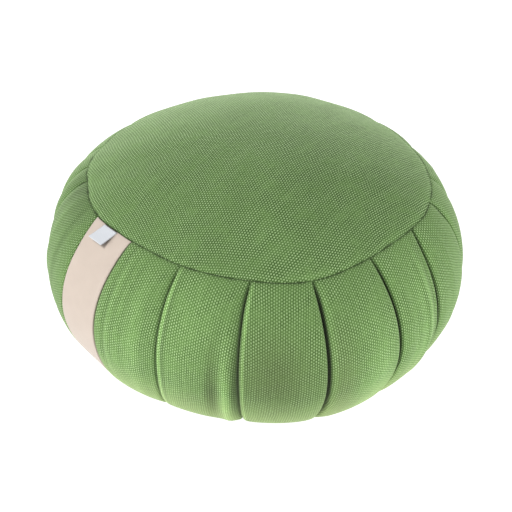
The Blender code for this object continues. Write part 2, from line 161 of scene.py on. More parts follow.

# Broad uneven shades of the cloth, by the angle at the top seam and the drop, mostly painted light
# and shade: painted highlights on ridges and crease edges, painted shade in troughs and crevices
# and on faces turned from the light. Each says how much paler or darker than the rest, and how
# much of the grey-green dust colour is mixed in, partly as dust and partly as the tint of painted
# shade. Placed, like the creases and the spots on top, against average colours of small blocks of
# the photo.
Shade = namedtuple("Shade", "angle halfAngle drop halfDrop change dust")
shades = (
    Shade(6.5, 8.5, 1.00, 0.38, -0.34, 0.22),
    Shade(21.5, 3.5, 1.20, 0.50, -0.10, 0.20),
    Shade(33.0, 6.0, 1.35, 0.60, 0.46, 0.0),
    Shade(51.0, 7.0, 1.20, 0.90, 0.36, 0.0),
    Shade(-19.0, 5.0, 0.80, 0.70, 0.15, 0.0),
    Shade(-13.0, 6.0, 0.50, 0.40, 0.12, 0.0),
    Shade(-5.4, 1.2, 1.35, 0.50, 0.70, 0.0),
    Shade(-9.0, 1.7, 1.25, 0.42, -0.48, 0.15),
    Shade(-2.9, 0.8, 1.25, 0.50, -0.45, 0.0),
    Shade(-15.0, 4.0, 1.20, 0.35, -0.14, 0.04),
    Shade(-36.0, 9.0, 1.10, 0.80, 0.19, 0.0),
    Shade(60.4, 0.6, 1.00, 0.35, -0.70, 0.0),
    Shade(39.6, 0.6, 1.20, 0.45, -0.70, 0.0),
    Shade(56.4, 0.7, 0.90, 0.60, -0.30, 0.0),
    Shade(54.6, 0.9, 0.95, 0.60, 0.34, 0.0),
    Shade(52.6, 0.7, 0.90, 0.60, -0.24, 0.0),
    Shade(48.5, 1.2, 0.90, 0.60, -0.10, 0.0),
    Shade(-23.2, 0.6, 0.90, 0.80, -0.26, 0.0),
    Shade(-29.0, 1.0, 1.00, 0.60, -0.12, 0.0),
    Shade(-32.4, 1.0, 1.00, 0.70, 0.12, 0.0),
    Shade(-36.3, 0.9, 0.90, 0.70, -0.15, 0.0),
    Shade(-39.4, 0.5, 0.80, 0.70, -0.16, 0.0),
    Shade(-41.2, 0.5, 0.80, 0.80, 0.22, 0.0),
    Shade(-42.9, 0.5, 0.80, 0.80, -0.30, 0.0),
    Shade(-73.0, 0.9, 0.70, 0.70, -0.20, 0.0),
    Shade(-80.0, 0.9, 0.70, 0.70, 0.20, 0.0),
    Shade(-84.5, 0.8, 0.70, 0.70, -0.18, 0.0),
    Shade(68.0, 7.0, 1.10, 0.50, 0.14, 0.0),
    Shade(-82.0, 18.0, 0.80, 0.90, -0.14, 0.0),
    Shade(-84.0, 14.0, 0.12, 0.32, -0.34, 0.0),
    Shade(103.0, 9.0, 1.10, 0.60, -0.08, 0.10),
    Shade(141.0, 8.0, 1.00, 0.70, 0.10, 0.0),
    Shade(181.0, 9.0, 1.20, 0.50, -0.14, 0.20),
    Shade(220.0, 10.0, 1.00, 0.70, 0.08, 0.0),
)

# How strongly light and shade are painted into the cloth, with the drops and metres over which
# this happens: painted highlights on the fold edges, painted shade in the folds and the top seam,
# and painted bounce light from the floor, pale and greyed, along the lower edge.
paintedLight = {
    "edgePaler": 0.5,
    "foldDarker": 0.92,
    "shareWherePressed": 0.3,
    "bounceFrom": 1.15,
    "bounceOver": 0.45,
    "bouncePaler": 0.45,
    "bounceMix": 0.40,
    "seamDarker": 0.3,
    "seamShadow": 0.0008,
    "darkest": 0.08,
}
# the seam's unevenness: how strong each wave is, how many go round, and where it starts
seamWaves = ((0.5, 31, 1), (0.4, 53, 2), (0.3, 83, 0))


def pleatColumn(name):
    return np.array([getattr(pleat, name) for pleat in pleats], float)


seamAngles = pleatColumn("seam")


def around(values, angle):
    # a value listed for each pleat, read smoothly at any angle at the top seam
    knots = np.concatenate([seamAngles - 360, seamAngles, seamAngles + 360])
    heights = np.tile(values, 3)
    turned = (np.asarray(angle, float) - seamAngles[0]) % 360 + seamAngles[0]
    left = np.searchsorted(knots, turned, side="right") - 1
    slope = np.gradient(heights, knots)
    width = knots[left + 1] - knots[left]
    f = (turned - knots[left]) / width
    start = (1 + 2 * f) * (1 - f) ** 2 * heights[left] + f * (1 - f) ** 2 * width * slope[left]
    end = f**2 * (3 - 2 * f) * heights[left + 1] - f**2 * (1 - f) * width * slope[left + 1]
    return start + end


def alongPanel(angle):
    turned = (np.asarray(angle, float) - seamAngles[0]) % 360 + seamAngles[0]
    panel = np.searchsorted(seamAngles, turned, side="right") - 1
    width = np.append(seamAngles, seamAngles[0] + 360)[panel + 1] - seamAngles[panel]
    return panel, (turned - seamAngles[panel]) / width


def topSeam(angle):
    panel, f = alongPanel(angle)
    sag = pleatColumn("sag")[panel] * np.sin(np.pi * f) ** 2
    radius = (around(pleatColumn("rim"), angle) + sag) / 1000
    return radius, cushion["topSeamRise"] + around(pleatColumn("lift"), angle) / 1000


def baseSeam(angle):
    belly = around(pleatColumn("radius"), angle) / 1000
    radius = cushion["baseSeamRadius"] + cushion["baseFollows"] * (belly - cushion["bellyRadius"])
    return radius, cushion["baseSeamRise"] + 0 * belly


def bezier(ends, t):
    a, b, c, d = ends
    return (1 - t) ** 3 * a + 3 * (1 - t) ** 2 * t * b + 3 * (1 - t) * t**2 * c + t**3 * d


def sideOutline(angle, drop):
    # radius, height and outward normal of the side with its pleats left out
    lower = drop > 1
    belly = around(pleatColumn("radius"), angle) / 1000
    seamRadius, seamRise = baseSeam(angle) if lower else topSeam(angle)
    reach = cushion["baseReach"] if lower else cushion["topReach"]
    slope = cushion["baseSlope"] if lower else cushion["topSlope"]
    bend = cushion["bellyReachDown"] if lower else cushion["bellyReachUp"]
    way = -1 if lower else 1
    radii = (seamRadius, seamRadius + reach * math.cos(slope), belly, belly)
    rises = (
        seamRise,
        seamRise - way * reach * math.sin(slope),
        cushion["bellyRise"] + way * bend,
        cushion["bellyRise"],
    )
    t = 2 - drop if lower else drop
    step = 1e-4
    near, far = max(t - step, 0), min(t + step, 1)
    runR = way * (bezier(radii, far) - bezier(radii, near))
    runZ = way * (bezier(rises, far) - bezier(rises, near))
    length = np.hypot(runR, runZ)
    return bezier(radii, t), bezier(rises, t), -runZ / length, runR / length


def opened(drop):
    # 0 where a seam presses a pleat flat, 1 where it hangs open
    f = min(1, min(drop, 2 - drop) / cushion["foldOpens"])
    return f * f * (3 - 2 * f)


def leaningAll(drop):
    seam, belly, base = pleatColumn("seam"), pleatColumn("belly"), pleatColumn("base")
    if drop <= 1:
        return seam + (belly - seam) * math.sin(math.pi / 2 * drop)
    return belly + (base - belly) * (1 - math.cos(math.pi / 2 * (drop - 1)))


def atSeam(angle, drop):
    here = leaningAll(drop)
    knots = np.concatenate([here - 360, here, here + 360])
    values = np.concatenate([seamAngles - 360, seamAngles, seamAngles + 360])
    return np.interp(angle, knots, values)


def downFromTop(drop):
    # metres along the cloth from the top seam, close below it
    return 3 * cushion["topReach"] * drop


def recessAt(drop):
    start = cushion["recessAtSeam"]
    return start + (cushion["recess"] - start) * opened(drop)


def throughPoints(points, cuts):
    # a smooth line through a few points, with more points between them
    points = np.asarray(points, float)
    padded = np.vstack([2 * points[0] - points[1], points, 2 * points[-1] - points[-2]])
    t = np.arange(cuts)[:, None] / cuts
    pieces = []
    for a, b, c, d in zip(padded, padded[1:], padded[2:], padded[3:]):
        linear = (c - a) * t
        square = (2 * a - 5 * b + 4 * c - d) * t**2
        cube = (3 * b - a - 3 * c + d) * t**3
        pieces.append(b + 0.5 * (linear + square + cube))
    return np.vstack([*pieces, points[-1:]])


def foldSection(pleat, drop):
    if abs(pleat.over) == 2:
        hang = 0
        section = [(across, deep * recessAt(drop) * 1000, 0) for across, deep in stepPoints]
    else:
        hang = opened(drop)
        press = min(1, drop / cushion["foldStarts"], (2 - drop) / cushion["foldStarts"])
        depth = pleat.depth * press * (cushion["foldPressed"] + (1 - cushion["foldPressed"]) * hang)
        section = [
            (
                point.pressed + hang * (point.hanging - point.pressed + point.gape * pleat.gape),
                depth * point.deep,
                point.tone + (point.shoulder if pleat.over > 0 else 0),
            )
            for point in foldPoints
        ]
    if pleat.over < 0:
        section = [(-across, deep, tone) for across, deep, tone in reversed(section)]
    section = throughPoints(section, foldCuts)
    # a narrow painted highlight along the edge, and painted shade in the fold beside it
    tone = np.clip(section[:, 2], -1, 1)
    paintedPale = paintedLight["edgePaler"] * pleat.worn * np.maximum(tone, 0) ** 3
    shaded = paintedLight["foldDarker"] * pleat.dark * np.minimum(tone, 0)
    pressed = paintedLight["shareWherePressed"]
    section[:, 2] = (paintedPale + shaded) * (pressed + (1 - pressed) * hang)
    return section


def softCreases(angle, drop):
    # metres that the soft creases stand out from the panels
    total = np.zeros_like(angle)
    for crease in creases:
        f = (drop - crease.startDrop) / (crease.endDrop - crease.startDrop)
        if 0 < f < 1:
            line = crease.startAngle + f * (crease.endAngle - crease.startAngle)
            away = (angle - line + 180) % 360 - 180
            across = away * math.radians(1) * cushion["bellyRadius"] * 1000 / crease.width
            share = math.sin(math.pi * f) ** cushion["creasePower"]
            total += crease.height / 1000 * share * np.exp(-across**2)
    return total


def seamUneven(angle):
    # the stitches pull the seam tighter in some places than in others, and there the painted shade
    # in the seam is stronger
    turn = np.radians(angle)
    return 1 + sum(strong * np.sin(waves * turn + start) for strong, waves, start in seamWaves)


def shadesAt(angle, drop):
    # the lower edge is painted pale with bounce light from the floor, and painted shade darkens the
    # cloth down in the top seam
    paintedPale = min(1, max(0, (drop - paintedLight["bounceFrom"]) / paintedLight["bounceOver"]))
    seamShadow = math.exp(-downFromTop(drop) / paintedLight["seamShadow"])
    change = paintedLight["bouncePaler"] * paintedPale - paintedLight["seamDarker"] * seamShadow * seamUneven(angle)
    dust = np.full_like(angle, paintedLight["bounceMix"] * paintedPale)
    for shade in shades:
        away = (angle - shade.angle + 180) % 360 - 180
        near = np.exp(-(away / shade.halfAngle) ** 2 - ((drop - shade.drop) / shade.halfDrop) ** 2)
        change += shade.change * near
        dust += shade.dust * near
    return change, dust


def sidePoints(angle, drop, depth):
    seamPlace = atSeam(angle, drop)
    radius, rise, out, up = sideOutline(seamPlace, drop)
    panel, f = alongPanel(seamPlace)
    plump = pleatColumn("plump")[panel] / 1000 * np.sin(np.pi * f)
    bulge = plump * math.sin(math.pi / 2 * drop) ** cushion["plumpPower"]
    away = downFromTop(drop) if drop < 1 else 3 * cushion["baseReach"] * (2 - drop)
    dip = cushion["seamDip"] * (1 - math.exp(-away / cushion["seamDipWidth"]))
    stand = bulge + dip - depth + softCreases(seamPlace, drop)
    radius, rise = radius + stand * out, rise + stand * up
    turn = np.radians(angle)
    return np.stack([radius * np.sin(turn), -radius * np.cos(turn), rise], axis=-1)


def sideRow(drop):
    here = leaningAll(drop)
    perMillimetre = np.degrees(0.001 / sideOutline(seamAngles, drop)[0])
    sections = [foldSection(pleat, drop) for pleat in pleats]
    ease = np.linspace(0, 1, cushion["betweenFolds"] + 2)[1:-1]
    angles, depths, tones = [], [], []
    for index, section in enumerate(sections):
        angles.append(here[index] + section[:, 0] * perMillimetre[index])
        depths.append(section[:, 1] / 1000)
        tones += [section[:, 2], np.zeros(len(ease))]
        after = (index + 1) % len(pleats)
        until = here[after] + (360 if after == 0 else 0)
        until += sections[after][0, 0] * perMillimetre[after]
        start, level = angles[-1][-1], depths[-1][-1]
        angles.append(start + ease * (until - start))
        if index == stripPleat:
            depths.append(np.full(len(ease), recessAt(drop)))
        else:
            depths.append(level * (1 - ease**2 * (3 - 2 * ease)))
    angles = np.concatenate(angles)
    # painted light and shade of the folds, the top seam, the shades table and the lower edge
    change, dust = shadesAt(atSeam(angles, drop), drop)
    tone = np.maximum(1 + change + np.concatenate(tones), paintedLight["darkest"])
    tone = np.stack([tone, dust], axis=-1)
    return sidePoints(angles, drop, np.concatenate(depths)), tone


# The two round panels, in metres.
roundPanels = {
    "crownRise": 0.036,
    "crownPower": 2.35,
    "seamLiftFades": 4,
    "flatRadius": 0.118,
    "floorPower": 2.2,
    "thickness": 0.002,
    "seamInset": 0.00045,
    "columns": 240,
    "topShares": 44,
    "baseShares": 26,
    "ringsCrowded": 1.8,
    "rimRadius": 0.145,
    "paleLine": 0.0024,
    "paleWidth": 0.0012,
    "rimPaler": 0.12,
    "seamDarker": 0.22,
    "topCut": 0.305,
    "baseCut": 0.29,
}

# The filling's lumps under the top panel: place, breadth and height in metres
Lump = namedtuple("Lump", "x y breadth height")
lumps = (
    Lump(-0.055, 0.040, 0.035, 0.0009),
    Lump(0.050, 0.055, 0.030, -0.0008),
    Lump(0.065, -0.035, 0.032, 0.0008),
    Lump(-0.030, -0.060, 0.030, -0.0007),
    Lump(0.005, 0.095, 0.028, 0.0007),
    Lump(-0.095, -0.010, 0.026, -0.0006),
    Lump(0.010, -0.010, 0.040, 0.0006),
)

# Painted light and shade on the top cloth, in broad spots: place, breadth in metres, and how much
# paler or darker
Spot = namedtuple("Spot", "x y breadth change")
spots = (
    Spot(0.085, -0.010, 0.075, -0.12),
    Spot(-0.020, -0.085, 0.060, 0.08),
    Spot(-0.060, 0.080, 0.060, 0.05),
    Spot(0.040, 0.125, 0.050, 0.06),
)


def patchesAt(x, y, patches):
    return sum(
        strong * np.exp(-((x - middleX) ** 2 + (y - middleY) ** 2) / breadth**2)
        for middleX, middleY, breadth, strong in patches
    )


def crown(angle, share):
    rim, seamRise = topSeam(angle)
    turn = np.radians(angle)

    def rise(share):
        away = rim * (1 - share)
        dip = cushion["seamDip"] * (1 - np.exp(-away / cushion["seamDipWidth"]))
        swell = roundPanels["crownRise"] * (1 - share ** roundPanels["crownPower"])
        fade = 1 - share ** roundPanels["seamLiftFades"]
        x, y = rim * share * np.sin(turn), -rim * share * np.cos(turn)
        lumpy = patchesAt(x, y, lumps)
        return seamRise + (cushion["topSeamRise"] - seamRise) * fade + dip + swell + lumpy * fade

    step = 1e-4
    slope = (rise(share) - rise(share - step)) / (rim * step)
    length = np.hypot(slope, 1)
    return rim * share, rise(share), -slope / length, 1 / length


def floorCurve(angle, share):
    rim, seamRise = baseSeam(atSeam(angle, 2))
    flat = roundPanels["flatRadius"]

    def rise(share):
        f = np.clip((rim * share - flat) / (rim - flat), 0, 1)
        return seamRise * f ** roundPanels["floorPower"]

    step = 1e-4
    slope = (rise(share) - rise(share - step)) / (rim * step)
    length = np.hypot(slope, 1)
    return rim * share, rise(share), slope / length, -1 / length


def panelRing(curve, share, angle, sink):
    rim = curve(angle, 1.0)[0]
    radius, rise, out, up = curve(angle, share - roundPanels["seamInset"] / rim)
    radius, rise = radius - sink * out, rise - sink * up
    turn = np.radians(angle)
    return np.stack([radius * np.sin(turn), -radius * np.cos(turn), rise], axis=-1)


def panelMiddle(curve, sink):
    _, rise, _, up = curve(np.array([0.0]), 1e-3)
    return np.array([0, 0, float(rise[0] - sink * up[0])])


def makeObject(name, points, faces, faceUvs, material):
    # faceUvs has one (u, v) for each corner of each face, in metres of cloth
    data = bpy.data.meshes.new(name)
    data.from_pydata(points.tolist(), [], faces)
    layer = data.uv_layers.new(name="cloth")
    layer.data.foreach_set("uv", np.asarray(faceUvs, np.float32).ravel())
    data.materials.append(material)
    data.shade_smooth()
    made = bpy.data.objects.new(name, data)
    bpy.context.scene.collection.objects.link(made)
    return made


def addTones(made, tone, dust):
    # how pale or dark the cloth is painted at each point, mostly painted light and shade, and how
    # much of the dust colour is mixed in, partly as dust and partly as painted light
    for name, values in (("tone", tone), ("dust", dust)):
        made.data.attributes.new(name, "FLOAT", "POINT").data.foreach_set("value", values)


def gridFaces(rowCount, columnCount, closed):
    columns = columnCount if closed else columnCount - 1
    row, column = np.meshgrid(np.arange(rowCount - 1), np.arange(columns), indexing="ij")
    after = (column + 1) % columnCount
    corners = [
        row * columnCount + column,
        (row + 1) * columnCount + column,
        (row + 1) * columnCount + after,
        row * columnCount + after,
    ]
    return np.stack(corners, axis=-1).reshape(-1, 4)


def poleFans(rowCount, columnCount):
    # triangles from the first and last rows to the two points that follow the grid's own
    first = range(columnCount)
    after = [(column + 1) % columnCount for column in first]
    top, last = rowCount * columnCount, (rowCount - 1) * columnCount
    fans = [(top, a, b) for a, b in zip(first, after)]
    return fans + [(last + a, top + 1, last + b) for a, b in zip(first, after)]


def panelUvs(rows):
    # u: along the row from the middle of each panel; v: down the middle of that panel
    rowCount, columnCount = rows.shape[:2]
    perPleat = columnCount // len(pleats)
    nextStep = np.linalg.norm(np.roll(rows, -1, axis=1) - rows, axis=2)
    left = np.zeros((rowCount, columnCount))
    right = np.zeros((rowCount, columnCount))
    down = np.zeros((rowCount, columnCount))
    middleOffset = perPleat - cushion["betweenFolds"] // 2 - 1
    deepest = []
    for pleat in pleats:
        place = deepestPoint if pleat.over > 0 else len(foldPoints) - 1 - deepestPoint
        deepest.append(place * foldCuts)
    for index in range(len(pleats)):
        start = index * perPleat + deepest[index]
        end = (index + 1) * perPleat + deepest[(index + 1) % len(pleats)]
        columns = np.arange(start, end) % columnCount
        runs = np.cumsum(nextStep[:, columns], axis=1)
        middle = index * perPleat + middleOffset
        zero = runs[:, middle - start - 1][:, None]
        right[:, columns] = runs - zero
        left[:, columns] = runs - nextStep[:, columns] - zero
        line = rows[:, middle % columnCount]
        lengths = np.linalg.norm(line[1:] - line[:-1], axis=1)
        down[:, columns] = np.concatenate([[0], np.cumsum(lengths)])[:, None]
    corners = []
    for across, first in ((left, 0), (left, 1), (right, 1), (right, 0)):
        some = slice(first, first + rowCount - 1)
        corners.append(np.stack([across[some], down[some]], axis=-1))
    return np.stack(corners, axis=2).reshape(-1, 2)


def flatUvs(points, faces):
    return [tuple(points[index][:2]) for face in faces for index in face]


def buildSide(material):
    even = np.linspace(0, 2, cushion["rows"])
    crowded = 1 - np.cos(np.pi * even / 2)
    drops = (1 - cushion["rowsCrowded"]) * even + cushion["rowsCrowded"] * crowded
    sink = roundPanels["thickness"] + cushion["gap"]
    made = [sideRow(float(drop)) for drop in drops]
    side = np.stack([points for points, _ in made])
    topAngles = np.degrees(np.arctan2(side[0, :, 0], -side[0, :, 1]))
    baseAngles = np.degrees(np.arctan2(side[-1, :, 0], -side[-1, :, 1]))
    shares = cushion["capShares"]
    capTop = np.stack([panelRing(crown, share, topAngles, sink) for share in reversed(shares)])
    capBase = np.stack([panelRing(floorCurve, share, baseAngles, sink) for share in shares])
    rows = np.concatenate([capTop, side, capBase])
    rowCount, columnCount = rows.shape[:2]
    poles = np.stack([panelMiddle(crown, sink), panelMiddle(floorCurve, sink)])
    points = np.concatenate([rows.reshape(-1, 3), poles])
    quads = gridFaces(rowCount, columnCount, True)
    fans = poleFans(rowCount, columnCount)
    capCount = len(shares) * columnCount
    capUvs = [flatUvs(points, faces) for faces in (quads[:capCount], quads[-capCount:], fans)]
    uvs = np.concatenate([capUvs[0], panelUvs(side), capUvs[1], capUvs[2]])
    tones = np.tile([1.0, 0.0], (len(points), 1))
    sideTones = np.stack([tone for _, tone in made]).reshape(-1, 2)
    tones[capCount:capCount + len(sideTones)] = sideTones
    body = makeObject("pleated_side", points, quads.tolist() + fans, uvs, material)
    addTones(body, tones[:, 0], tones[:, 1])
    return body


def buildRoundPanel(name, curve, shareCount, material):
    # closer rings near the seam, where the cloth dips
    angle = np.arange(roundPanels["columns"]) * 360 / roundPanels["columns"]
    shares = 1 - np.linspace(0, 1, shareCount, endpoint=False) ** roundPanels["ringsCrowded"]
    thickness = roundPanels["thickness"]
    faceUp = curve is crown
    outer = np.stack([panelRing(curve, share, angle, 0) for share in shares])
    inner = np.stack([panelRing(curve, share, angle, thickness) for share in shares])
    middle, innerMiddle = panelMiddle(curve, 0), panelMiddle(curve, thickness)
    layers = [outer[::-1], inner] if faceUp else [inner[::-1], outer]
    rows = np.concatenate(layers)
    rowCount, columnCount = rows.shape[:2]
    poles = [middle, innerMiddle] if faceUp else [innerMiddle, middle]
    points = np.concatenate([rows.reshape(-1, 3), poles])
    faces = gridFaces(rowCount, columnCount, True).tolist() + poleFans(rowCount, columnCount)
    # the flat pattern: distance from the middle along the cloth, on the same bearing
    line = np.vstack([outer[:, 0], middle])
    runs = np.linalg.norm(line[1:] - line[:-1], axis=1)
    reach = np.cumsum(runs[::-1])[::-1]
    turn = np.radians(angle)
    pattern = np.stack([reach[:, None] * np.sin(turn), -reach[:, None] * np.cos(turn)], axis=-1)
    bothLayers = np.concatenate([pattern[::-1], pattern]).reshape(-1, 2)
    flat = np.concatenate([bothLayers, np.zeros((2, 2))])
    uvs = [tuple(flat[index]) for face in faces for index in face]
    spotted = patchesAt(flat[:, 0], flat[:, 1], spots)
    # a painted highlight as a pale rim, with a thin painted shadow under it, down in the seam
    away = (1 - np.concatenate([shares[::-1], shares])) * roundPanels["rimRadius"]
    fromPale = (away - roundPanels["paleLine"]) / roundPanels["paleWidth"]
    paleRim = np.repeat(roundPanels["rimPaler"] * np.exp(-(fromPale**2)), columnCount)
    shadow = np.repeat(roundPanels["seamDarker"] * np.exp(-away / paintedLight["seamShadow"]), columnCount)
    shadow *= np.tile(seamUneven(angle), rowCount)
    seamLine = np.append(paleRim - shadow, [0, 0])
    panel = makeObject(name, points, faces, uvs, material)
    addTones(panel, 1 + spotted + seamLine, np.zeros(len(points)))
    return panel


# The plain strip and the ribbon tab, in metres and degrees.
plainStrip = {
    "thickness": 0.0018,
    "ends": 0.012,
    "columns": 49,
    "rows": 150,
    "cut": (0.050, 0.175),
    "tone": 0.97,
    "greyer": 0.12,
    "greyFrom": 0.1,
    "greyOver": 0.8,
    "tabShadow": 0.6,
    "shadowAside": 0.0012,
    "shadowBelow": 0.0014,
    "shadowEdge": 0.0003,
    "runGrows": 3.3,
}
ribbonTab = {
    "angle": -57.2,
    "start": 0.001,
    "width": 0.016,
    "length": 0.015,
    "ribbon": 0.00035,
    "between": 0.0003,
    "lift": 0.0036,
    "liftPower": 1.5,
    "lean": 0.8,
    "columns": 15,
    "rows": 20,
}


def closedSheet(name, outer, inner, uvOf, material):
    # outer and inner are grids of points; the border joins them
    rowCount, columnCount = outer.shape[:2]
    count = rowCount * columnCount
    points = np.concatenate([outer.reshape(-1, 3), inner.reshape(-1, 3)])
    faces = gridFaces(rowCount, columnCount, False)
    innerFaces = faces[:, ::-1] + count
    grid = np.arange(count).reshape(rowCount, columnCount)
    border = np.concatenate([grid[0, :-1], grid[:-1, -1], grid[-1, :0:-1], grid[:0:-1, 0]])
    following = np.roll(border, -1)
    sides = np.stack([border, following, following + count, border + count], axis=-1)
    allFaces = np.concatenate([faces, innerFaces, sides])
    flat = np.tile(uvOf.reshape(-1, 2), (2, 1))
    return makeObject(name, points, allFaces.tolist(), flat[allFaces.ravel()], material)


def stripTone(angles, drop, radius):
    # darker towards the bottom, and a painted shadow under the tab's lower and right edges
    below = min(1, max(0, (drop - plainStrip["greyFrom"]) / plainStrip["greyOver"]))
    across = np.radians(angles - ribbonTab["angle"] + ribbonTab["lean"]) * radius
    aside = np.abs(across - plainStrip["shadowAside"]) - ribbonTab["width"] / 2
    along = downFromTop(drop) * (1 + plainStrip["runGrows"] * drop) - ribbonTab["start"]
    outside = np.maximum(aside, along - ribbonTab["length"] - plainStrip["shadowBelow"])
    soft = 1 + np.exp(np.clip(outside / plainStrip["shadowEdge"], -30, 30))
    return plainStrip["tone"] - plainStrip["greyer"] * below - plainStrip["tabShadow"] / soft


def buildStrip(material):
    even = np.linspace(plainStrip["ends"], 2 - plainStrip["ends"], plainStrip["rows"])
    shares = np.linspace(0, 1, plainStrip["columns"])
    outer, inner, tones = [], [], []
    for drop in even:
        drop = float(drop)
        left, right = leaningAll(drop)[stripPleat:stripPleat + 2]
        radius = float(sideOutline(seamAngles[stripPleat:stripPleat + 1], drop)[0][0])
        clear = math.degrees(cushion["gap"] / radius)
        angles = left + clear + shares * (right - left - 2 * clear)
        depth = recessAt(drop) - cushion["gap"]
        thickness = min(plainStrip["thickness"], recessAt(drop) - 2 * cushion["gap"])
        inner.append(sidePoints(angles, drop, depth))
        outer.append(sidePoints(angles, drop, depth - thickness))
        tones.append(stripTone(angles, drop, radius))
    outer, inner = np.stack(outer), np.stack(inner)
    across = np.linalg.norm(outer[:, 1:] - outer[:, :-1], axis=2)
    u = np.concatenate([np.zeros((len(outer), 1)), np.cumsum(across, axis=1)], axis=1)
    u -= u[:, -1:] / 2
    middle = outer[:, plainStrip["columns"] // 2]
    downRun = np.linalg.norm(middle[1:] - middle[:-1], axis=1)
    v = np.concatenate([[0], np.cumsum(downRun)])[:, None] + 0 * u
    made = closedSheet("plain_strip", outer, inner, np.stack([u, v], axis=-1), material)
    addTones(made, np.tile(np.concatenate(tones), 2), np.zeros(2 * u.size))
    return made


def buildTab(material):
    # the ribbon runs out from the seam, folds at its free end and runs back under itself
    shares = np.linspace(-0.5, 0.5, ribbonTab["columns"])
    gapIn, ribbon = ribbonTab["between"], ribbonTab["ribbon"]
    bendRadius = gapIn / 2 + ribbon / 2
    out = np.linspace(0, 1, ribbonTab["rows"])
    table = np.linspace(0, 0.5, 101)
    line = [sideOutline(np.array([ribbonTab["angle"]]), float(drop))[:2] for drop in table]
    steps = np.linalg.norm(np.diff(np.array(line)[:, :, 0], axis=0), axis=1)
    reached = np.concatenate([[0], np.cumsum(steps)])
    straight = ribbonTab["length"] - bendRadius
    path = [(f * straight, bendRadius) for f in out]
    bend = np.linspace(math.pi / 2, -math.pi / 2, 9)[1:-1]
    path += [(straight + bendRadius * math.cos(a), bendRadius * math.sin(a)) for a in bend]
    path += [(f * straight, -bendRadius) for f in out[::-1]]
    path = np.array(path)
    run = np.gradient(path, axis=0)
    run /= np.linalg.norm(run, axis=1)[:, None]
    normals = np.stack([-run[:, 1], run[:, 0]], axis=-1)

    def layer(side):
        grid = []
        for (along, off), normal in zip(path, normals):
            along, off = along + side * normal[0], off + side * normal[1]
            f = along / ribbonTab["length"]
            drop = float(np.interp(ribbonTab["start"] + along, reached, table))
            radius = float(sideOutline(np.array([ribbonTab["angle"]]), drop)[0][0])
            middleAngle = ribbonTab["angle"] - ribbonTab["lean"] * f
            angles = middleAngle + shares * math.degrees(ribbonTab["width"] / radius)
            thickness = min(plainStrip["thickness"], recessAt(drop) - 2 * cushion["gap"])
            stripTop = recessAt(drop) - cushion["gap"] - thickness
            lift = ribbonTab["lift"] * max(f, 0) ** ribbonTab["liftPower"]
            depth = stripTop - cushion["gap"] - (bendRadius + ribbon / 2) - lift - off
            grid.append(sidePoints(angles, drop, depth))
        return np.stack(grid)

    outer, inner = layer(ribbon / 2), layer(-ribbon / 2)
    runs = np.concatenate([[0], np.cumsum(np.linalg.norm(path[1:] - path[:-1], axis=1))])
    uv = np.stack(np.broadcast_arrays(shares * ribbonTab["width"], runs[:, None]), axis=-1)
    return closedSheet("ribbon_tab", outer, inner, np.ascontiguousarray(uv), material)


def linear(hexColour):
    # sRGB hex to linear RGBA
    parts = [int(hexColour[i:i + 2], 16) / 255 for i in (1, 3, 5)]
    return [c / 12.92 if c <= 0.04045 else ((c + 0.055) / 1.055) ** 2.4 for c in parts] + [1]


def addNode(tree, kind, settings=None, **inputs):
    # a node with its settings; an input is a value or an output to link from
    node = tree.nodes.new(kind)
    for name, value in (settings or {}).items():
        setattr(node, name, value)
    for name, value in inputs.items():
        key = int(name[1:]) if name[0] == "i" and name[1:].isdigit() else name.replace("_", " ")
        socket = node.inputs[key]
        if isinstance(value, bpy.types.NodeSocket):
            tree.links.new(value, socket)
        else:
            socket.default_value = value
    return node


def newMaterial(name, **shaderValues):
    material = bpy.data.materials.new(name)
    material.use_nodes = True
    shader = material.node_tree.nodes["Principled BSDF"]
    for key, value in shaderValues.items():
        shader.inputs[key.replace("_", " ")].default_value = value
    return material, material.node_tree, shader


# Heavy plain-weave cotton canvas, dyed leaf green: matt, with every warp float standing up as a
# paler dot of painted highlight, painted shade dark between the warp columns, and a soft bloom of
# fibre ends where it turns away.
# Pitches and lengths in metres, turns of the warp in degrees, and for each uneven pattern how many
# of its patches lie in a metre. The pitches, sideTurn and topTurn were measured in the photo by
# scratch programs.
canvas = {
    "groove": "#425E2E",
    "middle": "#729555",
    "float": "#AEC995",
    "dust": "#8C9264",
    "warpPitch": 0.00196,
    "weftPitch": 0.0013,
    "wander": 0.0004,
    "streakLength": 0.06,
    "sideTurn": 2,
    "topTurn": -37.4,
    "baseTurn": 0,
    "sideContrast": 1.0,
    "topContrast": 1.25,
    "fibresPerMetre": 1600.0,
    "slubsPerMetre": 260.0,
    "wanderPerMetre": 70.0,
    "patchesPerMetre": 55.0,
    "broadPerMetre": 18.0,
    "middleHeight": 0.4,
    "streaky": 0.24,
    "fibrous": 0.26,
    "slubby": 0.30,
    "roughness": 0.92,
    "sheen": 0.35,
    "sheenTint": "#D9EFC0",
    "bumpStrength": 0.6,
    "bumpDepth": 0.0005,
}


